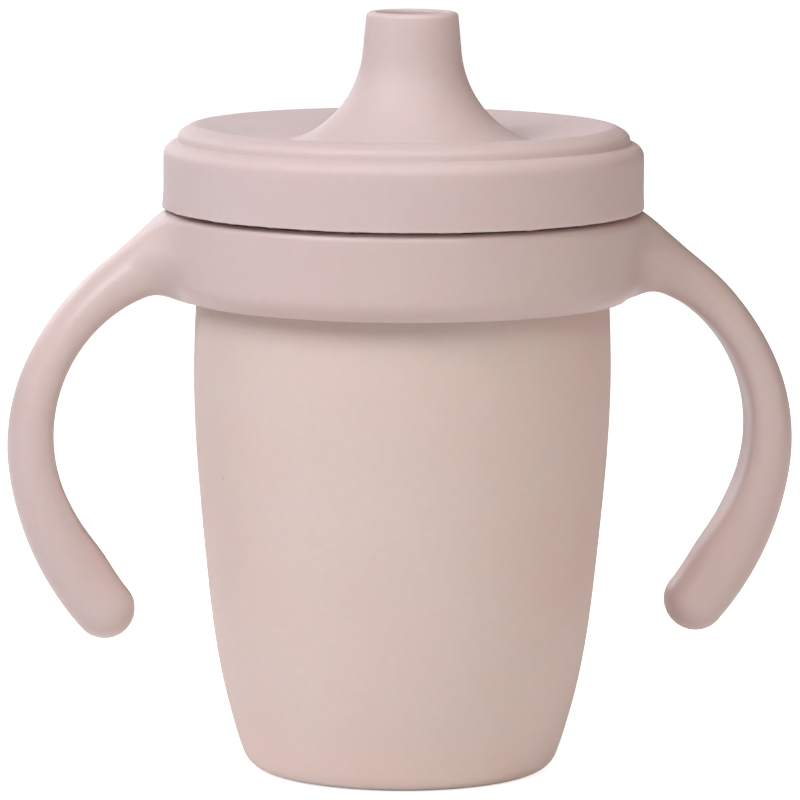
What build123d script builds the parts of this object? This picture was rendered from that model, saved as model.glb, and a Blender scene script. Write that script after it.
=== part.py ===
from build123d import *
import os

# A child's sippy cup, in millimetres. The origin is the centre of the underside of the base,
# +Z is up, the two handles lie along X, and the spout stands off centre towards -Y.

# Cup: outer wall as radius and height, from the base up to the neck
CUP_WALL_POINTS = [(24.4, 0), (28.0, 12), (31.6, 35.5), (33.4, 65), (33.0, 76)]
CUP_WALL = 2.6
CUP_FLOOR = 3.4
CUP_FLOOR_INSIDE_R = 23.2
CUP_BASE_ROUNDING = 4.2
CUP_FLOOR_ROUNDING = 5.0
FOOT_RECESS_R = 14.0
FOOT_RECESS_DEPTH = 0.8
NECK_R = 33.0
BEAD_R = 35.5
BEAD_BOTTOM = 91.2
RIM_TOP = 98.2
RIM_ROUNDING = 1.0

# Handle ring and its two open handles
RING_CLEARANCE = 0.35
RING_BORE_R = NECK_R + RING_CLEARANCE
RING_R = 37.9
RING_BOTTOM = 76.0
RING_TOP = 89.5
RING_LOWER_ROUNDING = 3.6
RING_UPPER_ROUNDING = 1.2
HANDLE_WIDTH = 13.0
HANDLE_ROUNDING = 2.9
HANDLE_ROOT_X = 35.0
HANDLE_TIP = (47.85, 26.42)
HANDLE_TIP_R = 4.82
HANDLE_OUTSIDE_LEAN = 41.4
HANDLE_OUTSIDE_ARCS = [(47.6, 33.4), (32.1, 32.5), (44.7, 24.5)]
HANDLE_INSIDE_LEAN = 42.0
HANDLE_INSIDE_ARCS = [(55.3, 18.9), (24.3, 100.0)]

# Lid: skirt, shoulder, raised disc with a shallow dish, and the sealing lip inside the rim
LID_R = 38.5
LID_BOTTOM = 90.1
LID_SHOULDER = 100.5
LID_SHOULDER_ROUNDING = 2.2
DISC_R = 36.1
DISC_TOP = 103.4
DISC_ROUNDING = 2.2
DISH_R = 33.6
DISH_FLOOR_R = 22.0
DISH_FLOOR = 101.7
SKIRT_BORE_R = BEAD_R + 0.4
DISC_UNDERSIDE = 99.6
LIP_R = NECK_R - CUP_WALL - 0.4
LIP_WALL = 2.0
LIP_BOTTOM = 93.4

# Spout, on its own upright axis in front of the lid's
SPOUT_Y = -10.0
SPOUT_TOP = 122.3
SPOUT_R = 7.25
SPOUT_WALL = 1.7
SPOUT_NECK = (7.82, 115.8)
SPOUT_FLARE = (11.18, 107.4)
SPOUT_FOOT_R = 19.7
SOCKET_R = 9.5
SOCKET_BORE_R = 7.4
SOCKET_BOTTOM = 94.6
SOCKET_TOP = 106.0

# Spill valve, pressed up into the socket
VALVE_CLEARANCE = 0.3
VALVE_R = SOCKET_BORE_R - VALVE_CLEARANCE
VALVE_WALL = 1.5
VALVE_SHOULDER = 101.5
VALVE_DOME_TOP = 104.0
VALVE_DOME_THICKNESS = 1.0
FLANGE_R = 9.3
FLANGE_THICKNESS = 1.4
SLIT_LENGTH = 7.0
SLIT_GAP = 0.3
TAB_WIDTH = 5.0
TAB_THICKNESS = 1.6
TAB_DROP = 5.0

os.makedirs("parts", exist_ok=True)


def circles(builder, radius, height):
    """The circular edges of one radius that lie flat at one height."""
    rings = builder.edges().filter_by(GeomType.CIRCLE)
    rings = rings.filter_by_position(Axis.Z, height - 0.01, height + 0.01)
    return rings.filter_by(lambda edge: abs(edge.radius - radius) < 0.01)


# The cup is turned from one section: outer wall, rim bead, inner wall and floor.
with BuildPart() as cup_body:
    with BuildSketch(Plane.XZ):
        with BuildLine():
            inner_points = [(r - CUP_WALL, z) for r, z in CUP_WALL_POINTS[1:]]
            Polyline(
                (0, FOOT_RECESS_DEPTH),
                (FOOT_RECESS_R - FOOT_RECESS_DEPTH, FOOT_RECESS_DEPTH),
                (FOOT_RECESS_R, 0),
                CUP_WALL_POINTS[0],
            )
            Spline(*CUP_WALL_POINTS)
            Polyline(
                CUP_WALL_POINTS[-1],
                (NECK_R, BEAD_BOTTOM),
                (BEAD_R, BEAD_BOTTOM + BEAD_R - NECK_R),
                (BEAD_R, RIM_TOP),
                (NECK_R - CUP_WALL, RIM_TOP),
                inner_points[-1],
            )
            Spline(*reversed(inner_points), (CUP_FLOOR_INSIDE_R, CUP_FLOOR))
            Polyline((CUP_FLOOR_INSIDE_R, CUP_FLOOR), (0, CUP_FLOOR), (0, FOOT_RECESS_DEPTH))
        make_face()
    revolve(axis=Axis.Z)
    fillet(circles(cup_body, CUP_WALL_POINTS[0][0], 0), CUP_BASE_ROUNDING)
    fillet(circles(cup_body, CUP_FLOOR_INSIDE_R, CUP_FLOOR), CUP_FLOOR_ROUNDING)
    fillet(circles(cup_body, BEAD_R, RIM_TOP) + circles(cup_body, NECK_R - CUP_WALL, RIM_TOP), RIM_ROUNDING)
cup_body.part.label = "cup_body"
export_step(cup_body.part, "parts/cup_body.step")


# One handle, drawn in the XZ plane from the middle of its round tip: up the outside to the shoulder
# and up the inside to the underside of the ring, as tangent arcs of (radius, turn).
with BuildPart() as one_handle:
    with BuildSketch(Plane.XZ):
        with BuildLine():
            tip_outside = Vector(*HANDLE_TIP) + Vector(HANDLE_TIP_R, 0).rotate(Axis.Z, -HANDLE_OUTSIDE_LEAN)
            tip_inside = Vector(*HANDLE_TIP) + Vector(-HANDLE_TIP_R, 0).rotate(Axis.Z, -HANDLE_INSIDE_LEAN)
            tip_bottom = Vector(*HANDLE_TIP) - Vector(0, HANDLE_TIP_R)
            ThreePointArc(tip_outside, tip_bottom, tip_inside)
            outside_end = tip_outside
            outside_heading = Vector(1, 0).rotate(Axis.Z, 90 - HANDLE_OUTSIDE_LEAN)
            for radius, turn in HANDLE_OUTSIDE_ARCS:
                outside = JernArc(outside_end, outside_heading, radius, turn)
                outside_end = outside @ 1
                outside_heading = outside % 1
            shoulder = PolarLine(
                outside_end,
                RING_TOP - outside_end.Y,
                direction=outside_heading,
                length_mode=LengthMode.VERTICAL,
            )
            inside_end = tip_inside
            inside_heading = Vector(1, 0).rotate(Axis.Z, 90 - HANDLE_INSIDE_LEAN)
            for radius, turn in HANDLE_INSIDE_ARCS:
                inside = JernArc(inside_end, inside_heading, radius, turn)
                inside_end = inside @ 1
                inside_heading = inside % 1
            Polyline(
                shoulder @ 1,
                (HANDLE_ROOT_X, RING_TOP),
                (HANDLE_ROOT_X, inside_end.Y),
                inside_end,
            )
        make_face()
    extrude(amount=HANDLE_WIDTH / 2, both=True)
    front_and_back = one_handle.faces().filter_by(Axis.Y)
    long_edges = front_and_back.edges().filter_by(GeomType.CIRCLE) + front_and_back.edges().filter_by(
        GeomType.LINE
    ).filter_by(lambda edge: edge.center().X > HANDLE_ROOT_X + 4)
    fillet(long_edges, HANDLE_ROUNDING)


# The ring round the neck, with a handle on each side.
with BuildPart() as handle_ring:
    with BuildSketch(Plane.XZ):
        with BuildLine():
            Polyline(
                (RING_BORE_R, RING_BOTTOM),
                (RING_R, RING_BOTTOM),
                (RING_R, RING_TOP),
                (RING_BORE_R, RING_TOP),
                (RING_BORE_R, RING_BOTTOM),
            )
        make_face()
    revolve(axis=Axis.Z)
    fillet(circles(handle_ring, RING_R, RING_BOTTOM), RING_LOWER_ROUNDING)
    fillet(circles(handle_ring, RING_R, RING_TOP), RING_UPPER_ROUNDING)
    add(one_handle.part)
    mirror(one_handle.part, about=Plane.YZ)
handle_ring.part.label = "handle_ring"
export_step(handle_ring.part, "parts/handle_ring.step")


# The lid without its passage: skirt, shoulder and disc turned about the cup's axis, the spout and
# the valve socket turned about the spout's own axis.
spout_axis = Axis((0, SPOUT_Y, 0), (0, 0, 1))
spout_plane = Plane.XZ.offset(-SPOUT_Y)
with BuildPart() as spout_lid:
    with BuildSketch(Plane.XZ):
        with BuildLine():
            Polyline(
                (0, DISH_FLOOR),
                (DISH_FLOOR_R, DISH_FLOOR),
                (DISH_R, DISC_TOP),
                (DISC_R, DISC_TOP),
                (DISC_R, LID_SHOULDER),
                (LID_R, LID_SHOULDER),
                (LID_R, LID_BOTTOM),
                (SKIRT_BORE_R, LID_BOTTOM),
                (SKIRT_BORE_R, RIM_TOP),
                (LIP_R, RIM_TOP),
                (LIP_R, LIP_BOTTOM),
                (LIP_R - LIP_WALL, LIP_BOTTOM),
                (LIP_R - LIP_WALL, DISC_UNDERSIDE),
                (0, DISC_UNDERSIDE),
                (0, DISH_FLOOR),
            )
        make_face()
    revolve(axis=Axis.Z)
    fillet(circles(spout_lid, DISC_R, DISC_TOP), DISC_ROUNDING)
    fillet(circles(spout_lid, LID_R, LID_SHOULDER), LID_SHOULDER_ROUNDING)
    with BuildSketch(spout_plane):
        with BuildLine():
            Line((0, SPOUT_TOP), (SPOUT_R - SPOUT_WALL / 2, SPOUT_TOP))
            RadiusArc(
                (SPOUT_R - SPOUT_WALL / 2, SPOUT_TOP),
                (SPOUT_R, SPOUT_TOP - SPOUT_WALL / 2),
                SPOUT_WALL / 2,
            )
            Line((SPOUT_R, SPOUT_TOP - SPOUT_WALL / 2), SPOUT_NECK)
            ThreePointArc(SPOUT_NECK, SPOUT_FLARE, (SPOUT_FOOT_R, DISH_FLOOR))
            Polyline(
                (SPOUT_FOOT_R, DISH_FLOOR),
                (SPOUT_FOOT_R, DISC_UNDERSIDE + 0.5),
                (0, DISC_UNDERSIDE + 0.5),
                (0, SPOUT_TOP),
            )
        make_face()
    revolve(axis=spout_axis)
    with BuildSketch(Plane.XY.offset(SOCKET_BOTTOM)):
        with Locations((0, SPOUT_Y)):
            Circle(SOCKET_R)
    extrude(amount=DISC_UNDERSIDE + 1 - SOCKET_BOTTOM)
    with BuildSketch(spout_plane):
        with BuildLine():
            Polyline(
                (0, SOCKET_BOTTOM),
                (SOCKET_BORE_R, SOCKET_BOTTOM),
                (SOCKET_BORE_R, SOCKET_TOP),
                (SPOUT_R - SPOUT_WALL, SPOUT_NECK[1]),
                (SPOUT_R - SPOUT_WALL, SPOUT_TOP),
                (0, SPOUT_TOP),
                (0, SOCKET_BOTTOM),
            )
        make_face()
    revolve(axis=spout_axis, mode=Mode.SUBTRACT)
spout_lid.part.label = "spout_lid"
export_step(spout_lid.part, "parts/spout_lid.step")


# The valve is a soft thimble with a flange below, a domed top cut by a crossed slit, and a pull tab.
with BuildPart() as spill_valve:
    with BuildSketch(spout_plane):
        with BuildLine():
            Polyline(
                (VALVE_R, VALVE_SHOULDER),
                (VALVE_R, SOCKET_BOTTOM),
                (FLANGE_R, SOCKET_BOTTOM),
                (FLANGE_R, SOCKET_BOTTOM - FLANGE_THICKNESS),
                (VALVE_R - VALVE_WALL, SOCKET_BOTTOM - FLANGE_THICKNESS),
                (VALVE_R - VALVE_WALL, VALVE_SHOULDER - VALVE_DOME_THICKNESS),
            )
            ThreePointArc(
                (VALVE_R - VALVE_WALL, VALVE_SHOULDER - VALVE_DOME_THICKNESS),
                (VALVE_R / 2, (VALVE_SHOULDER + VALVE_DOME_TOP) / 2 - VALVE_DOME_THICKNESS + 0.5),
                (0, VALVE_DOME_TOP - VALVE_DOME_THICKNESS),
            )
            Line((0, VALVE_DOME_TOP - VALVE_DOME_THICKNESS), (0, VALVE_DOME_TOP))
            ThreePointArc(
                (0, VALVE_DOME_TOP),
                (VALVE_R / 2, (VALVE_SHOULDER + VALVE_DOME_TOP) / 2 + 0.6),
                (VALVE_R, VALVE_SHOULDER),
            )
        make_face()
    revolve(axis=spout_axis)
    with BuildSketch(Plane.XY.offset(VALVE_SHOULDER)):
        with Locations((0, SPOUT_Y)):
            Rectangle(SLIT_LENGTH, SLIT_GAP)
            Rectangle(SLIT_GAP, SLIT_LENGTH)
    extrude(amount=VALVE_DOME_TOP - VALVE_SHOULDER + 1, mode=Mode.SUBTRACT)
    with BuildSketch(Plane.XY.offset(SOCKET_BOTTOM - FLANGE_THICKNESS)):
        with Locations((0, SPOUT_Y + (VALVE_R - VALVE_WALL + FLANGE_R) / 2)):
            Rectangle(TAB_WIDTH, TAB_THICKNESS)
    extrude(amount=-TAB_DROP)
spill_valve.part.label = "spill_valve"
export_step(spill_valve.part, "parts/spill_valve.step")
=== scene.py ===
import math

import bpy
import numpy as np
from mathutils import Matrix, Vector, noise


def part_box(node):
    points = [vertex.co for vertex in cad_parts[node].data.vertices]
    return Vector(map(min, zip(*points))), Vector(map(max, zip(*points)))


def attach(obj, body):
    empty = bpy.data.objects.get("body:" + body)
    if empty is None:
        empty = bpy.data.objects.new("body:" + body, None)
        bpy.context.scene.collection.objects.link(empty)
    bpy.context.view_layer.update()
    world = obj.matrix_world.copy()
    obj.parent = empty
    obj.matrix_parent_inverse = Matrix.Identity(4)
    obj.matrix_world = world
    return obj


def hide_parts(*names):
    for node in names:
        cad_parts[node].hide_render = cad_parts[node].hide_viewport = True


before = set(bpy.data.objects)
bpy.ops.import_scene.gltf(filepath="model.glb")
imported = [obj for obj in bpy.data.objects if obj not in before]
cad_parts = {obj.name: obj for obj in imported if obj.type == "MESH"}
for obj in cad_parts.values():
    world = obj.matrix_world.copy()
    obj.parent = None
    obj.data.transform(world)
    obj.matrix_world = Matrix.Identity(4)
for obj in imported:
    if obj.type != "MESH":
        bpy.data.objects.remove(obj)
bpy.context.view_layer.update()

MM = 0.001

# Driving dimensions, in millimetres, read from the frame where it has them
cup_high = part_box("cup_body")[1] / MM
ring_low, ring_high = (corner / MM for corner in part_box("handle_ring"))
lid_low, lid_high = (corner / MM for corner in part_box("spout_lid"))
valve_low, valve_high = (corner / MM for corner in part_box("spill_valve"))

LID_INSET = 0.2
LID_R = lid_high.y - LID_INSET
LID_BOTTOM = lid_low.z
SPOUT_TOP = lid_high.z
SPOUT_Y = (valve_low.y + valve_high.y) / 2
RIM_TOP = cup_high.z
RING_TOP = ring_high.z
RING_R = ring_high.y


# ---------------------------------------------------------------- mesh helpers


def smooth_curve(points, count):
    """Points along the natural cubic spline through the given ones, evenly spaced in its parameter."""
    points = np.array(points, float)
    steps = np.linalg.norm(np.diff(points, axis=0), axis=1)
    knots = np.concatenate([[0], np.cumsum(steps)])
    size = len(points)
    system = np.eye(size)
    right = np.zeros_like(points)
    slopes = np.diff(points, axis=0) / steps[:, None]
    for i in range(1, size - 1):
        system[i, i - 1 : i + 2] = steps[i - 1], 2 * (steps[i - 1] + steps[i]), steps[i]
        right[i] = 6 * (slopes[i] - slopes[i - 1])
    bends = np.linalg.solve(system, right)
    made = []
    for t in np.linspace(0, knots[-1], count):
        i = min(np.searchsorted(knots, t, side="right") - 1, size - 2)
        h = steps[i]
        a = (knots[i + 1] - t) / h
        b = 1 - a
        bend = ((a**3 - a) * bends[i] + (b**3 - b) * bends[i + 1]) * h * h / 6
        made.append(a * points[i] + b * points[i + 1] + bend)
    return np.array(made)


def rounded_path(corners, spacing=0.8, closed=False):
    """A dense line through corners (centre_y, radius, z, rounding), each corner rounded by its own arc."""
    corners = [tuple(c) if len(c) == 4 else (*c, 0) for c in corners]
    size = len(corners)
    stretches = []
    for i, (cy, r, z, rounding) in enumerate(corners):
        here = np.array([r, z])
        ends = not closed and i in (0, size - 1)
        if rounding == 0 or ends:
            stretches.append([np.array([cy, r, z])])
            continue
        before = np.array(corners[i - 1][1:3]) - here
        after = np.array(corners[(i + 1) % size][1:3]) - here
        before /= np.linalg.norm(before)
        after /= np.linalg.norm(after)
        opening = math.acos(np.clip(before @ after, -1, 1))
        reach = rounding / math.tan(opening / 2)
        middle = (before + after) / np.linalg.norm(before + after)
        centre = here + middle * rounding / math.sin(opening / 2)
        start = here + before * reach - centre
        end = here + after * reach - centre
        turn = math.acos(np.clip(start @ end / rounding**2, -1, 1))
        steps = max(4, round(turn / math.radians(9)))
        arc = []
        for k in range(steps + 1):
            share = k / steps
            mix = math.sin((1 - share) * turn) * start + math.sin(share * turn) * end
            point = centre + mix / math.sin(turn)
            arc.append(np.array([cy, *point]))
        stretches.append(arc)
    line = []
    pairs = range(size if closed else size - 1)
    for i in pairs:
        line.extend(stretches[i])
        a, b = stretches[i][-1], stretches[(i + 1) % size][0]
        parts = max(1, math.ceil(np.linalg.norm((b - a)[1:]) / spacing))
        line.extend(a + (b - a) * k / parts for k in range(1, parts))
    if not closed:
        line.extend(stretches[-1])
    kept = [line[0]]
    for point in line[1:]:
        if np.linalg.norm(point - kept[-1]) > 1e-4:
            kept.append(point)
    return np.array(kept)


def make_object(name, vertices, faces, material):
    """A smooth-shaded mesh object from points in millimetres."""
    mesh = bpy.data.meshes.new(name)
    mesh.from_pydata((np.asarray(vertices) * MM).tolist(), [], faces)
    mesh.validate()
    mesh.polygons.foreach_set("use_smooth", [True] * len(mesh.polygons))
    mesh.materials.append(material)
    piece = bpy.data.objects.new(name, mesh)
    bpy.context.scene.collection.objects.link(piece)
    return piece


def turned(name, line, segments, material, closed=False, warp=None):
    """A surface of level circles: line holds (centre_y, radius, z) of each, and radius 0 is a pole."""
    angles = np.arange(segments) * 2 * math.pi / segments
    vertices, starts = [], []
    for cy, r, z in line:
        starts.append(len(vertices))
        if r < 1e-6:
            vertices.append((0, cy, z))
        else:
            vertices.extend((r * math.cos(a), cy + r * math.sin(a), z) for a in angles)
    faces = []
    count = len(line)
    for i in range(count if closed else count - 1):
        j = (i + 1) % count
        a, b = starts[i], starts[j]
        for k in range(segments):
            n = (k + 1) % segments
            if line[i][1] < 1e-6:
                faces.append((a, b + n, b + k))
            elif line[j][1] < 1e-6:
                faces.append((a + k, a + n, b))
            else:
                faces.append((a + k, a + n, b + n, b + k))
    vertices = np.array(vertices, float)
    if warp:
        vertices = warp(vertices)
    return make_object(name, vertices, faces, material)


def surface_net(values, low, cell):
    """Vertices and quads of the zero surface of a sampled field that is negative inside the solid."""
    inside = values < 0
    cells = tuple(n - 1 for n in values.shape)
    total = np.zeros((*cells, 3))
    crossings = np.zeros(cells)
    for axis in range(3):
        sides = [a for a in range(3) if a != axis]
        for da in (0, 1):
            for db in (0, 1):
                first, second = [None] * 3, [None] * 3
                first[axis], second[axis] = slice(0, cells[axis]), slice(1, cells[axis] + 1)
                for side, step in zip(sides, (da, db)):
                    first[side] = second[side] = slice(step, step + cells[side])
                f0, f1 = values[tuple(first)], values[tuple(second)]
                crossed = (f0 < 0) != (f1 < 0)
                share = np.where(crossed, f0 / np.where(crossed, f0 - f1, 1), 0)
                total[..., axis] += share
                total[..., sides[0]] += np.where(crossed, da, 0)
                total[..., sides[1]] += np.where(crossed, db, 0)
                crossings += crossed
    active = crossings > 0
    index = np.full(cells, -1)
    index[active] = np.arange(active.sum())
    corner = np.argwhere(active)
    vertices = low + cell * (corner + total[active] / crossings[active][:, None])
    faces = []
    for axis in range(3):
        u, v = [a for a in range(3) if a != axis]
        first = [slice(1, n - 1) for n in values.shape]
        second = list(first)
        first[axis], second[axis] = slice(0, cells[axis]), slice(1, cells[axis] + 1)
        f0, f1 = inside[tuple(first)], inside[tuple(second)]
        for rising in (True, False):
            at = np.argwhere((f0 & ~f1) if rising else (~f0 & f1))
            at[:, u] += 1
            at[:, v] += 1
            quad = []
            for du, dv in ((1, 1), (0, 1), (0, 0), (1, 0)):
                near = at.copy()
                near[:, u] -= du
                near[:, v] -= dv
                quad.append(index[tuple(near.T)])
            quad = np.stack(quad, 1)
            flip = rising == (axis == 1)
            faces.append(quad[:, ::-1] if flip else quad)
    return vertices, np.concatenate(faces)


# ---------------------------------------------------------------- materials


def new_material(name):
    """A material, its node tree and its Principled shader."""
    material = bpy.data.materials.new(name)
    material.use_nodes = True
    return material, material.node_tree, material.node_tree.nodes["Principled BSDF"]


def noise_node(tree, coordinate, feature_mm, detail=3.0, roughness=0.5):
    """Noise whose features are about this many millimetres across; its values run from 0 to 1."""
    node = tree.nodes.new("ShaderNodeTexNoise")
    node.inputs["Scale"].default_value = 1000 / feature_mm
    node.inputs["Detail"].default_value = detail
    node.inputs["Roughness"].default_value = roughness
    tree.links.new(coordinate, node.inputs["Vector"])
    return node.outputs["Fac"]


def remap(tree, value, low, high, new_low, new_high, smooth=False):
    """A value's range from low to high stretched to the new range, and held at its ends."""
    node = tree.nodes.new("ShaderNodeMapRange")
    node.interpolation_type = "SMOOTHSTEP" if smooth else "LINEAR"
    for name, number in (("From Min", low), ("From Max", high), ("To Min", new_low), ("To Max", new_high)):
        node.inputs[name].default_value = number
    tree.links.new(value, node.inputs["Value"])
    return node.outputs["Result"]


def calculate(tree, kind, first, second):
    """One step of arithmetic on two values, each a number or a socket."""
    node = tree.nodes.new("ShaderNodeMath")
    node.operation = kind
    for socket, value in zip(node.inputs, (first, second)):
        if isinstance(value, (int, float)):
            socket.default_value = value
        else:
            tree.links.new(value, socket)
    return node.outputs[0]


def tint(tree, share, first, second):
    """Mixes two colours, each a tuple or a socket, by a share from 0 to 1."""
    node = tree.nodes.new("ShaderNodeMix")
    node.data_type = "RGBA"
    tree.links.new(share, node.inputs["Factor"])
    for socket, value in ((node.inputs[6], first), (node.inputs[7], second)):
        if isinstance(value, tuple):
            socket.default_value = (*value, 1)
        else:
            tree.links.new(value, socket)
    return node.outputs[2]


def scaled(colour, *shares):
    """A colour with each channel multiplied by its own share."""
    return tuple(channel * share for channel, share in zip(colour, shares))


CLOUD_MM = 24
MEAL_MM = 1.4
SPECK_SPACING_MM = 5.0
SPECK_CORE, SPECK_EDGE = 0.03, 0.06
DARK_SPECK_SHARES = (0.62, 0.50, 0.45)
PALE_SPECK = (0.88, 0.85, 0.82)
SMUDGE_MM = 16
FINE_MM = 0.9
FINE_SPREAD = 0.025
RIPPLE_WIDTH_MM = 14
GRAIN_MM = 0.45
GRAIN_DEPTH_MM = 0.012
GLOW_REACH = (1.0, 0.55, 0.42)
SILICONE_IOR = 1.41


def clouded_pigment(tree, coordinate, colour, mottle):
    """A colour that drifts between a pinker and a greyer tone, with fine mealy clouds over it."""
    clouds = remap(tree, noise_node(tree, coordinate, CLOUD_MM, 2.0), 0.3, 0.7, 0, 1, smooth=True)
    pinker = scaled(colour, 1 + mottle * 0.3, 1 - mottle, 1 - mottle * 0.8)
    greyer = scaled(colour, 1 - mottle * 0.3, 1 + mottle * 0.6, 1 + mottle)
    base = tint(tree, clouds, pinker, greyer)
    meal = remap(tree, noise_node(tree, coordinate, MEAL_MM, 4.0, 0.6), 0.35, 0.65, 0, 0.5)
    return tint(tree, meal, base, scaled(colour, 0.965, 0.955, 0.95))


def speckled(tree, coordinate, base, colour, speck_share):
    """The base colour with tiny dark and pale specks in this share of the cells of a Voronoi texture."""
    dots = tree.nodes.new("ShaderNodeTexVoronoi")
    dots.inputs["Scale"].default_value = 1000 / SPECK_SPACING_MM
    tree.links.new(coordinate, dots.inputs["Vector"])
    near = remap(tree, dots.outputs["Distance"], SPECK_CORE, SPECK_EDGE, 1, 0, smooth=True)
    pick = tree.nodes.new("ShaderNodeSeparateColor")
    tree.links.new(dots.outputs["Color"], pick.inputs["Color"])
    for channel, strength, speck in (
        ("Red", 0.35, scaled(colour, *DARK_SPECK_SHARES)),
        ("Green", 0.30, PALE_SPECK),
    ):
        chosen = calculate(tree, "LESS_THAN", pick.outputs[channel], speck_share)
        share = calculate(tree, "MULTIPLY", calculate(tree, "MULTIPLY", near, chosen), strength)
        base = tint(tree, share, base, speck)
    return base


def handled_roughness(tree, coordinate, roughness):
    """Roughness with a fine spread, and broad patches that handling has made a little glossier."""
    patches = noise_node(tree, coordinate, SMUDGE_MM, 4.0, 0.6)
    smudges = remap(tree, patches, 0.42, 0.68, 0.03, -0.05, smooth=True)
    low, high = roughness - FINE_SPREAD, roughness + FINE_SPREAD
    fine = remap(tree, noise_node(tree, coordinate, FINE_MM, 2.0), 0.3, 0.7, low, high)
    return calculate(tree, "ADD", fine, smudges)


def relief(tree, height, depth_mm, over=None):
    """The normal of a bump of this depth, over another normal if there is one."""
    node = tree.nodes.new("ShaderNodeBump")
    node.inputs["Distance"].default_value = depth_mm * MM
    node.inputs["Strength"].default_value = 1.0
    tree.links.new(height, node.inputs["Height"])
    if over:
        tree.links.new(over, node.inputs["Normal"])
    return node.outputs["Normal"]


def silicone(name, colour, roughness, glow_mm, glow_weight, mottle, ripple_mm, speck_share):
    """Moulded silicone: clouded pigment, a fine matt grain, faint ripples, specks and handling marks."""
    material, tree, shader = new_material(name)
    coordinate = tree.nodes.new("ShaderNodeTexCoord").outputs["Object"]
    base = clouded_pigment(tree, coordinate, colour, mottle)
    base = speckled(tree, coordinate, base, colour, speck_share)
    tree.links.new(base, shader.inputs["Base Color"])
    tree.links.new(handled_roughness(tree, coordinate, roughness), shader.inputs["Roughness"])
    ripples = relief(tree, noise_node(tree, coordinate, RIPPLE_WIDTH_MM, 1.0), ripple_mm)
    grain = relief(tree, noise_node(tree, coordinate, GRAIN_MM, 3.0, 0.6), GRAIN_DEPTH_MM, over=ripples)
    tree.links.new(grain, shader.inputs["Normal"])
    shader.inputs["Subsurface Weight"].default_value = glow_weight
    shader.inputs["Subsurface Radius"].default_value = GLOW_REACH
    shader.inputs["Subsurface Scale"].default_value = glow_mm * MM
    shader.inputs["IOR"].default_value = SILICONE_IOR
    shader.inputs["Sheen Weight"].default_value = 0.04
    shader.inputs["Sheen Roughness"].default_value = 0.5
    return material


# Name, colour, roughness, depth and weight of the glow, mottling, ripple depth, share of specks
cup_material = silicone("cup_silicone", (0.782, 0.600, 0.540), 0.52, 9.0, 0.60, 0.030, 0.10, 0.05)
handle_material = silicone("handle_silicone", (0.645, 0.519, 0.490), 0.37, 4.0, 0.35, 0.022, 0.05, 0.03)
lid_material = silicone("lid_silicone", (0.652, 0.529, 0.511), 0.50, 4.0, 0.35, 0.022, 0.04, 0.04)
valve_material = silicone("valve_silicone", (0.80, 0.76, 0.73), 0.35, 4.0, 0.50, 0.015, 0.03, 0.02)

# ---------------------------------------------------------------- cup

CUP_WALL = 2.6
CUP_FLOOR = 3.4
FOOT_R = 24.3
NECK_R = 33.0
BEAD_R = 35.5
BEAD_BOTTOM = 91.2
BEAD_SLOPE = 2.5
RECESS = 0.8
RECESS_R = 14.0
INSIDE_FLOOR_R = 23.0
INSIDE_FROM = 11
CUP_SEGMENTS = 288
WALL_ROWS = 90
WALL_POINTS = [(26.1, 5.2), (28.0, 12.0), (31.5, 35.5), (33.35, 65.0), (33.0, 76.0)]


def make_cup():
    """The tumbler: a recessed base, the curved wall, the bead that the lid grips, and the inside."""
    wall = smooth_curve(WALL_POINTS, WALL_ROWS)
    inner = wall[wall[:, 1] > INSIDE_FROM][::-1]
    corners = [
        (0, 0, RECESS, 0),
        (0, RECESS_R - RECESS, RECESS, 0.5),
        (0, RECESS_R, 0, 0.5),
        (0, FOOT_R, 0, 4.2),
        *[(0, r, z, 0) for r, z in wall],
        (0, NECK_R, BEAD_BOTTOM, 0.6),
        (0, BEAD_R, BEAD_BOTTOM + BEAD_SLOPE, 0.8),
        (0, BEAD_R, RIM_TOP, 1.2),
        (0, NECK_R - CUP_WALL, RIM_TOP, 0.8),
        *[(0, r - CUP_WALL, z, 0) for r, z in inner],
        (0, INSIDE_FLOOR_R, CUP_FLOOR, 5.0),
        (0, 0, CUP_FLOOR, 0),
    ]
    return turned("cup_shell", rounded_path(corners), CUP_SEGMENTS, cup_material)


cup = make_cup()
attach(cup, "cup")
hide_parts("cup_body")

# ---------------------------------------------------------------- handle ring

RING_BORE_R = 33.35
RING_BOTTOM = 76.0
RING_RISE = 0.62
RING_CREST = RING_TOP + RING_RISE
RING_TOP_ROUNDING = 1.8
RING_FOOT_ROUNDING = 3.6
RING_INSIDE_ROUNDING = 0.5
RING_EDGE_BLEND = 1.2
BORE_EDGE_BLEND = 0.6
HANDLE_TIP = np.array([47.85, 26.42])
HANDLE_TIP_R = 4.82
OUTSIDE_LEAN = 41.4
OUTSIDE_ARCS = [(33.4, 47.6), (32.5, 32.1), (24.5, 44.7), (17.0, 0)]
INSIDE_LEAN = 42.0
INSIDE_ARCS = [(18.9, 55.3), (100.0, 24.3), (6.0, 0)]
ROOT_TOP = (38.6, 89.65)
ROOT_SLOPE = 0.78
ROOT_EDGE_BLEND = 1.0
LEAST_BLEND = 1.0
LOWER_BLEND, LOWER_BLEND_DEPTH = 3.4, 9.0
UPPER_BLEND, UPPER_BLEND_START, UPPER_BLEND_RISE = 6.0, 2.5, 6.0
HANDLE_HALF_WIDTH = 6.4
FACE_STRETCH = 0.36
FACE_EDGE_BLEND = 0.8
FACE_START, FACE_RISE, FACE_STAND_OFF = 0.05, 0.25, 0.3
OVAL_POWER = 2.2
CREST_SHARE = 0.58
CREST_SHARE_RISE = 0.35
NET_CELL = 0.55
NET_MARGIN = 3 * NET_CELL
SETTLING_ROUNDS = 4
LONGEST_MOVE = 0.4
SPINE_STEP = 0.5
TIP_SWELL = 0.6
TIP_SWELL_AT = 7.5
TIP_SWELL_HALF = 6.0


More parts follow.
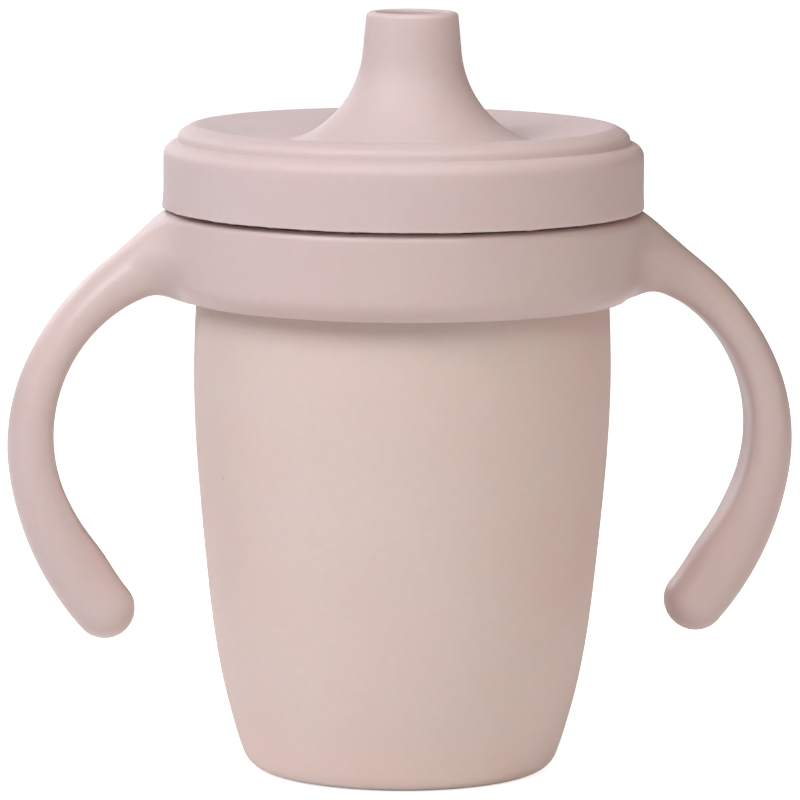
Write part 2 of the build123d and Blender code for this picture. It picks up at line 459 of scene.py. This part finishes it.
def smooth_step(value):
    """0 below 0, 1 above 1, and a smooth rise between."""
    value = np.clip(value, 0, 1)
    return value * value * (3 - 2 * value)


def arc_chain(start, heading, moves, step=SPINE_STEP):
    """Points along straight runs (length, 0) and arcs (turn in degrees, radius), from one heading."""
    points = [np.array(start, float)]
    heading = math.radians(heading)
    for amount, radius in moves:
        length = amount if radius == 0 else math.radians(amount) * radius
        parts = max(1, round(length / step))
        for _ in range(parts):
            turn = 0 if radius == 0 else math.radians(amount) / parts
            heading += turn / 2
            chord = length / parts
            points.append(points[-1] + chord * np.array([math.cos(heading), math.sin(heading)]))
            heading += turn / 2
    return np.array(points)


def handle_spine():
    """The handle's crest line in the XZ plane, tip first, and how far its outside and inside are."""
    lean_out, lean_in = math.radians(OUTSIDE_LEAN), math.radians(INSIDE_LEAN)
    start_out = HANDLE_TIP + HANDLE_TIP_R * np.array([math.cos(lean_out), -math.sin(lean_out)])
    start_in = HANDLE_TIP - HANDLE_TIP_R * np.array([math.cos(lean_in), -math.sin(lean_in)])
    outside = arc_chain(start_out, 90 - OUTSIDE_LEAN, OUTSIDE_ARCS)
    inside = arc_chain(start_in, 90 - INSIDE_LEAN, INSIDE_ARCS)
    heading = np.gradient(outside, axis=0)
    heading /= np.linalg.norm(heading, axis=1)[:, None]
    inward = np.stack([-heading[:, 1], heading[:, 0]], 1)
    thickness = np.full(len(outside), 2 * HANDLE_TIP_R)
    for i, point in enumerate(outside):
        ahead = (inside - point) @ heading[i]
        crossed = np.flatnonzero((ahead[:-1] <= 0) & (ahead[1:] > 0))
        if len(crossed):
            k = crossed[0]
            share = ahead[k] / (ahead[k] - ahead[k + 1])
            thickness[i] = (inside[k] + share * (inside[k + 1] - inside[k]) - point) @ inward[i]
        elif i and ahead[0] < 0:
            thickness[i] = thickness[i - 1]
    passed = np.linspace(0, 1, len(outside))
    share = 0.5 + (CREST_SHARE - 0.5) * smooth_step(passed / CREST_SHARE_RISE)
    spine = outside + (share * thickness)[:, None] * inward
    walked = np.arange(len(outside)) * SPINE_STEP
    swelling = TIP_SWELL * np.exp(-(((walked - TIP_SWELL_AT) / TIP_SWELL_HALF) ** 2))
    return spine, share * thickness, (1 - share) * thickness + swelling


SPINE, OUT_REACH, IN_REACH = handle_spine()


def spine_place(x, z):
    """For points in the XZ plane: distance from the spine, side (1 is outside), reaches, place along."""
    flat = np.stack([np.abs(x).ravel(), z.ravel()], 1)
    a, b = SPINE[:-1], SPINE[1:]
    along = b - a
    best = np.full(len(flat), 1e9)
    place = np.zeros(len(flat))
    outward = np.zeros(len(flat))
    for i in range(len(a)):
        rel = flat - a[i]
        t = np.clip(rel @ along[i] / (along[i] @ along[i]), 0, 1)
        off = rel - t[:, None] * along[i]
        d = np.hypot(off[:, 0], off[:, 1])
        better = d < best
        best = np.where(better, d, best)
        place = np.where(better, i + t, place)
        unit = along[i] / np.linalg.norm(along[i])
        side = (off[:, 0] * unit[1] - off[:, 1] * unit[0]) / np.maximum(d, 1e-9)
        outward = np.where(better, side, outward)
    knots = np.arange(len(SPINE))
    out_reach = np.interp(place, knots, OUT_REACH)
    in_reach = np.interp(place, knots, IN_REACH)
    shape = np.shape(x)
    return [v.reshape(shape) for v in (best, outward, out_reach, in_reach, place / knots[-1])]


def smooth_min(a, b, k):
    """The lesser of two fields, which joins two solids with a blend about k wide."""
    h = np.clip(0.5 + 0.5 * (b - a) / k, 0, 1)
    return b + (a - b) * h - k * h * (1 - h)


def smooth_max(a, b, k):
    """The greater of two fields, which keeps what two solids share."""
    return -smooth_min(-a, -b, k)


def handle_field(place, y):
    """An oval section with a flat inner face, which fades out at the round tip."""
    distance, outward, out_reach, in_reach, along = place
    flat = smooth_step((along - FACE_START) / FACE_RISE)
    stretched = in_reach * (1 + FACE_STRETCH * flat)
    reach = stretched + (out_reach - stretched) * smooth_step(0.5 + 0.5 * outward)
    across = distance / reach
    width = np.abs(y) / HANDLE_HALF_WIDTH
    size = (across**OVAL_POWER + width**OVAL_POWER) ** (1 / OVAL_POWER)
    oval = (size - 1) * np.minimum(reach, HANDLE_HALF_WIDTH)
    beyond_face = -outward * distance - in_reach - FACE_STAND_OFF * (1 - flat)
    return smooth_max(oval, beyond_face, FACE_EDGE_BLEND)


def ring_field(r, z):
    """Distance from the ring's section, a rectangle with each corner rounded by its own radius."""
    middle_r, half_r = (RING_BORE_R + RING_R) / 2, (RING_R - RING_BORE_R) / 2
    middle_z, half_z = (RING_BOTTOM + RING_CREST) / 2, (RING_CREST - RING_BOTTOM) / 2
    dr, dz = r - middle_r, z - middle_z
    outer_rounding = np.where(dz > 0, RING_TOP_ROUNDING, RING_FOOT_ROUNDING)
    rounding = np.where(dr > 0, outer_rounding, RING_INSIDE_ROUNDING)
    rounding = np.minimum(rounding, np.where(dr > 0, half_r * 2, half_r))
    qr = np.abs(dr) - half_r + rounding
    qz = np.abs(dz) - half_z + rounding
    return np.hypot(np.maximum(qr, 0), np.maximum(qz, 0)) + np.minimum(np.maximum(qr, qz), 0) - rounding


def handles_field(x, y, z, place):
    """The ring and both handles as one solid, bored for the cup, level on top and sloping at the roots."""
    r = np.hypot(x, y)
    depth = np.clip((RING_TOP - z) / LOWER_BLEND_DEPTH, 0, 1)
    height = smooth_step((z - RING_BOTTOM - UPPER_BLEND_START) / UPPER_BLEND_RISE)
    blend = LEAST_BLEND + LOWER_BLEND * depth + UPPER_BLEND * height
    joined = smooth_min(ring_field(r, z), handle_field(place, y), blend)
    joined = smooth_max(joined, RING_BORE_R - r, BORE_EDGE_BLEND)
    joined = smooth_max(joined, z - RING_CREST, RING_EDGE_BLEND)
    root_r, root_z = ROOT_TOP
    above_root = (z - root_z + ROOT_SLOPE * (r - root_r)) / math.hypot(1, ROOT_SLOPE)
    return smooth_max(joined, above_root, ROOT_EDGE_BLEND)


def make_handles():
    """The ring and its handles, netted from the field and settled onto its zero surface."""
    low = np.array([ring_low.x, ring_low.y, ring_low.z]) - NET_MARGIN
    high = np.array([ring_high.x, ring_high.y, ring_high.z]) + NET_MARGIN
    xs, ys, zs = (np.arange(low[i], high[i] + NET_CELL, NET_CELL) for i in range(3))
    flat_x, flat_z = np.meshgrid(xs, zs, indexing="ij")
    place = [v[:, None, :] for v in spine_place(flat_x, flat_z)]
    values = handles_field(xs[:, None, None], ys[None, :, None], zs[None, None, :], place)
    vertices, faces = surface_net(values, low, NET_CELL)
    for _ in range(SETTLING_ROUNDS):
        vertices = settle(vertices)
    return make_object("handles", vertices, faces.tolist(), handle_material)


def settle(vertices, step=0.02):
    """Moves vertices onto the zero surface along the field's slope."""

    def at(points):
        x, y, z = points.T
        return handles_field(x, y, z, spine_place(x, z))

    here = at(vertices)
    slope = np.zeros_like(vertices)
    for axis in range(3):
        shift = np.zeros(3)
        shift[axis] = step
        slope[:, axis] = (at(vertices + shift) - at(vertices - shift)) / (2 * step)
    steepness = np.maximum((slope**2).sum(1), 0.05)
    move = slope * (here / steepness)[:, None]
    length = np.linalg.norm(move, axis=1)
    move *= np.minimum(1, LONGEST_MOVE / np.maximum(length, 1e-9))[:, None]
    return vertices - move


handles = make_handles()
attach(handles, "handles")
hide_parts("handle_ring")

# ---------------------------------------------------------------- lid

DISC_TOP = 103.4
DISC_R = 36.15
GROOVE = 100.95
SHOULDER = 100.6
LIP_R = 30.0
LIP_WALL = 2.0
LIP_BOTTOM = 93.4
DISC_UNDERSIDE = 99.6
SOCKET_R = 9.5
SOCKET_BORE_R = 7.4
SOCKET_BOTTOM = 94.6
SPOUT_LIP_R = 7.2
SPOUT_BORE_R = 5.55
SPOUT_NECK = 115.8
PASSAGE_STEP = 106.0
FLARE_R = 16.5
FLARE_CENTRE = (24.23, 117.48)
FLARE_ANGLES = (5.8, 68, 2.5)
FLARE_FOOT_R = 19.4
FLARE_FOOT = 101.75
SKIRT_BORE_R = 36.0
LID_EDGE = LID_BOTTOM + 0.25
SKIRT_DIP = 0.15
SKIRT_DIP_TOP, SKIRT_DIP_FADE = 98, 7.5
FLASH = 0.16
FLASH_COARSE, FLASH_FINE = 9.0, 46.0
SWELLINGS = [(178, 9, 0.22), (352, 2.5, 0.12)]
SWELLING_FADE = 2.5
LID_SEGMENTS = 720


def flare_points():
    """The spout's flare from its tangent point on the cone down towards the dish, as radius and height."""
    points = []
    for degrees in np.arange(*FLARE_ANGLES):
        angle = math.radians(degrees)
        radius = FLARE_CENTRE[0] - FLARE_R * math.cos(angle)
        points.append((SPOUT_Y, radius, FLARE_CENTRE[1] - FLARE_R * math.sin(angle)))
    return points


def bump(angle, middle, width):
    """A smooth hump of height 1 round one angle, in degrees."""
    away = (np.degrees(angle) - middle + 180) % 360 - 180
    return np.exp(-((away / width) ** 2))


def edge_raggedness(angle):
    """How far the moulding flash hangs below the skirt's edge, from 0 to 1, at each angle."""
    made = []
    for a in angle:
        place = Vector((math.cos(a), math.sin(a), 0))
        coarse = noise.noise(place * FLASH_COARSE)
        fine = noise.noise(place * FLASH_FINE + Vector((3, 7, 1)))
        made.append(max(0.0, 0.35 + coarse) * max(0.0, 0.4 + 1.4 * fine))
    return np.clip(np.array(made), 0, 1)


def lid_warp(points):
    """The skirt's edge dips at the front and back, with two small swellings and an uneven moulding flash."""
    x, y, z = points.T
    r = np.hypot(x, y)
    angle = np.arctan2(y, x)
    skirt = smooth_step((SKIRT_DIP_TOP - z) / SKIRT_DIP_FADE) * (r > SKIRT_BORE_R - 0.5)
    outer = r > SKIRT_BORE_R + 1.5
    edge = np.clip((LID_EDGE + 0.5 - z) / 0.5, 0, 1) * outer
    table = edge_raggedness(np.arange(LID_SEGMENTS) * 2 * math.pi / LID_SEGMENTS)
    ragged = table[np.round(angle / (2 * math.pi) * LID_SEGMENTS).astype(int) % LID_SEGMENTS]
    low = smooth_step((LID_EDGE + SWELLING_FADE - z) / SWELLING_FADE) * outer
    swell = sum(height * bump(angle, middle, width) for middle, width, height in SWELLINGS) * low
    points = points.copy()
    points[:, 2] += SKIRT_DIP * np.cos(2 * angle) * skirt - FLASH * ragged * edge
    points[:, 0] *= 1 + swell / np.maximum(r, 1)
    return points


def make_lid():
    """The lid, from the spout's lip down the outside and back up the inside to the lip."""
    s = SPOUT_Y
    corners = [
        (s, SPOUT_LIP_R, SPOUT_TOP, 0.8),
        *flare_points(),
        (s, FLARE_FOOT_R, FLARE_FOOT, 3.0),
        (0, DISC_R - 2.5, DISC_TOP + 0.3, 3.0),
        (0, DISC_R - 0.25, DISC_TOP - 1.0, 1.6),
        (0, DISC_R, GROOVE, 0.35),
        (0, LID_R, SHOULDER, 2.2),
        (0, LID_R, LID_EDGE, 0.15),
        (0, SKIRT_BORE_R, LID_EDGE, 0.3),
        (0, SKIRT_BORE_R - 0.1, RIM_TOP, 0.3),
        (0, LIP_R, RIM_TOP, 0.3),
        (0, LIP_R, LIP_BOTTOM, 0.9),
        (0, LIP_R - LIP_WALL, LIP_BOTTOM, 0.9),
        (0, LIP_R - LIP_WALL, DISC_UNDERSIDE, 0.8),
        (s, SOCKET_R, DISC_UNDERSIDE, 0.8),
        (s, SOCKET_R, SOCKET_BOTTOM, 0.4),
        (s, SOCKET_BORE_R, SOCKET_BOTTOM, 0.4),
        (s, SOCKET_BORE_R, PASSAGE_STEP, 2.0),
        (s, SPOUT_BORE_R + 0.05, SPOUT_NECK, 8.0),
        (s, SPOUT_BORE_R, SPOUT_TOP, 0.5),
    ]
    line = rounded_path(corners, closed=True)
    return turned("lid_shell", line, LID_SEGMENTS, lid_material, closed=True, warp=lid_warp)


lid = make_lid()
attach(lid, "lid")
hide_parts("spout_lid")

# ---------------------------------------------------------------- valve

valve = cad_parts["spill_valve"]
for index in range(len(valve.material_slots)):
    valve.material_slots[index].material = valve_material

# ---------------------------------------------------------------- camera, light and floor

CAMERA_TURN = -7.0
CAMERA_DISTANCE = 1000.0
CAMERA_HEIGHT = 190.5
CAMERA_PITCH = 7.47
CAMERA_ROLL = 0.36
CAMERA_LENS = 283.56
CAMERA_SIDE = -0.35


def make_camera():
    """A long lens from in front and a little above, turned slightly to the object's left."""
    turn, pitch, roll = (math.radians(a) for a in (CAMERA_TURN, CAMERA_PITCH, CAMERA_ROLL))
    level = Vector((-math.sin(turn), math.cos(turn), 0))
    right = Vector((math.cos(turn), math.sin(turn), 0))
    ahead = level * math.cos(pitch) - Vector((0, 0, math.sin(pitch)))
    up = level * math.sin(pitch) + Vector((0, 0, math.cos(pitch)))
    camera = bpy.data.objects.new("camera", bpy.data.cameras.new("camera"))
    bpy.context.scene.collection.objects.link(camera)
    rolled_right = right * math.cos(roll) + up * math.sin(roll)
    rolled_up = up * math.cos(roll) - right * math.sin(roll)
    place = (right * CAMERA_SIDE - level * CAMERA_DISTANCE + Vector((0, 0, CAMERA_HEIGHT))) * MM
    facing = Matrix((rolled_right, rolled_up, -ahead)).transposed().to_4x4()
    camera.matrix_world = Matrix.Translation(place) @ facing
    camera.data.lens = CAMERA_LENS
    camera.data.sensor_width = 36.0
    bpy.context.scene.camera = camera


def area_light(name, azimuth, elevation, power, colour):
    """A square soft light that faces the object; azimuth 0 is in front and grows towards +X."""
    azimuth, elevation = math.radians(azimuth), math.radians(elevation)
    level = math.cos(elevation)
    away = Vector((math.sin(azimuth) * level, -math.cos(azimuth) * level, math.sin(elevation)))
    lamp = bpy.data.lights.new(name, "AREA")
    lamp.shape = "SQUARE"
    lamp.size = LIGHT_SIZE
    lamp.energy = power
    lamp.color = colour
    light = bpy.data.objects.new(name, lamp)
    light.location = LIGHT_TARGET + away * LIGHT_DISTANCE
    light.rotation_euler = (-away).to_track_quat("-Z", "Y").to_euler()
    bpy.context.scene.collection.objects.link(light)


LIGHT_TARGET = Vector((0, 0, 0.06))
LIGHT_DISTANCE = 1.1
LIGHT_SIZE = 0.45
AMBIENT = 0.02
MIRRORED_WHITE = 0.35
# Painted shade: close to the cup the floor glows less white, so it looks darker there; it is full white
# further out.
PAINTED_SHADE_NEAR, PAINTED_SHADE_FAR = 0.03, 0.12
FLOOR_WHITE_IN_PAINTED_SHADE, FLOOR_WHITE_FAR = 0.8, 1.0
FLOOR_CORNERS = [(-6000, -3000, 0), (6000, -3000, 0), (6000, 9000, 0), (-6000, 9000, 0)]
LIGHTS = [
    ("key", -50, 45, 6.9, (0.98, 0.92, 1.0)),
    ("front", 10, 45, 4.25, (0.92, 1.0, 0.93)),
    ("top", 0, 85, 2.1, (1.0, 0.87, 0.80)),
    ("side_left", -80, 45, 1.2, (0.55, 0.92, 1.0)),
    ("side_right", 70, 12, 1.45, (1.0, 0.58, 0.50)),
    ("back_left", -150, 20, 1.37, (1.0, 0.92, 0.98)),
    ("edge_left", -115, 20, 0.85, (1.0, 0.65, 0.45)),
    ("back", 180, 20, 0.7, (0.98, 0.88, 1.0)),
    ("back_low", -168, 8, 1.0, (1.0, 0.97, 1.0)),
]


def seen_white(tree):
    """How white the floor looks by itself: a little less close to the cup, a painted shade that lets the
    lamps' contact shadow show there, and dimmer in reflections.
    """
    place = tree.nodes.new("ShaderNodeNewGeometry").outputs["Position"]
    length = tree.nodes.new("ShaderNodeVectorMath")
    length.operation = "LENGTH"
    tree.links.new(place, length.inputs[0])
    reach = length.outputs["Value"]
    # Painted shade: the floor's glow is dimmer close to the cup.
    share = remap(tree, reach, PAINTED_SHADE_NEAR, PAINTED_SHADE_FAR, FLOOR_WHITE_IN_PAINTED_SHADE, FLOOR_WHITE_FAR, smooth=True)
    path = tree.nodes.new("ShaderNodeLightPath")
    seen = calculate(tree, "MULTIPLY", share, path.outputs["Is Camera Ray"])
    mirrored = calculate(tree, "MULTIPLY", path.outputs["Is Glossy Ray"], MIRRORED_WHITE)
    return calculate(tree, "ADD", seen, mirrored)


def make_stage():
    """A white floor and surroundings, which the camera sees as white, with painted shade on the floor close
    to the cup, and the soft lights.
    """
    scene = bpy.context.scene
    scene.view_settings.view_transform = "Standard"
    world = bpy.data.worlds.new("studio")
    world.use_nodes = True
    tree = world.node_tree
    sky = tree.nodes["Background"]
    sky.inputs["Color"].default_value = (1, 1, 1, 1)
    seen = tree.nodes.new("ShaderNodeLightPath").outputs["Is Camera Ray"]
    tree.links.new(remap(tree, seen, 0, 1, AMBIENT, 1.0), sky.inputs["Strength"])
    scene.world = world
    for light in LIGHTS:
        area_light(*light)
    floor_material, tree, shader = new_material("floor_white")
    shader.inputs["Base Color"].default_value = (0.92, 0.92, 0.92, 1)
    shader.inputs["Roughness"].default_value = 0.9
    shader.inputs["Emission Color"].default_value = (1, 1, 1, 1)
    tree.links.new(seen_white(tree), shader.inputs["Emission Strength"])
    make_object("floor", FLOOR_CORNERS, [(0, 1, 2, 3)], floor_material)


make_camera()
make_stage()
